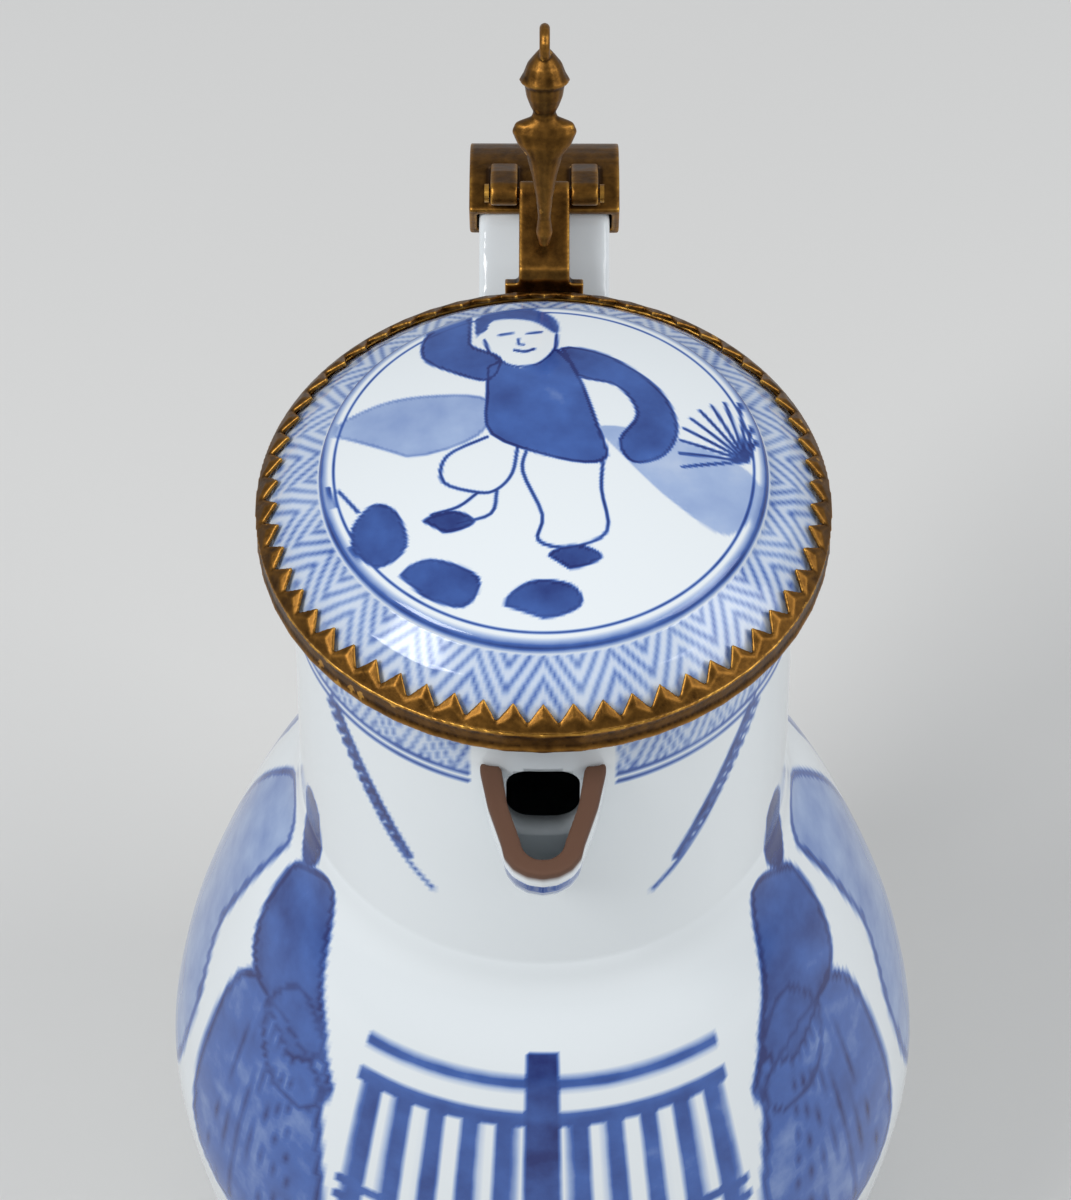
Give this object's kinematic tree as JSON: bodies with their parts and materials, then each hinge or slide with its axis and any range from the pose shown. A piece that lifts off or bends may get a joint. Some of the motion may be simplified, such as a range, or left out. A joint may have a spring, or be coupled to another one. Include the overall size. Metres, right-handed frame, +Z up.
{
  "type": "coffee pot",
  "caption": "Round-bellied porcelain pot with a beak spout, a strap handle and a domed lid in a hinged gilt mount with a figure thumbpiece.",
  "frame": {"origin": "on the surface the pot stands on, under the middle of the whole pot with its handle", "axes": "+Z up, -Y towards the spout, +Y towards the handle"},
  "size_m": [0.1322, 0.1532, 0.2474],
  "materials": {
    "porcelain": "clear feldspathic glaze over underglaze blue",
    "gilt_metal": "worn gilding on cast and engraved metal"
  },
  "bodies": {
    "pot": {"body": "porcelain", "spout": "porcelain", "handle": "porcelain", "handle_mount": "gilt_metal", "hinge_pin": "gilt_metal"},
    "cover": {"lid": "porcelain", "lid_band": "gilt_metal", "leaf_border": "gilt_metal", "hinge_leaf": "gilt_metal", "thumbpiece": "gilt_metal"}
  },
  "joints": [
    {"name": "lid_hinge", "type": "hinge", "parent": "pot", "child": "cover", "pos_m": [0, 0.04953, 0.2125], "axis": [-1, 0, 0], "range_deg": [0, 75]}
  ]
}
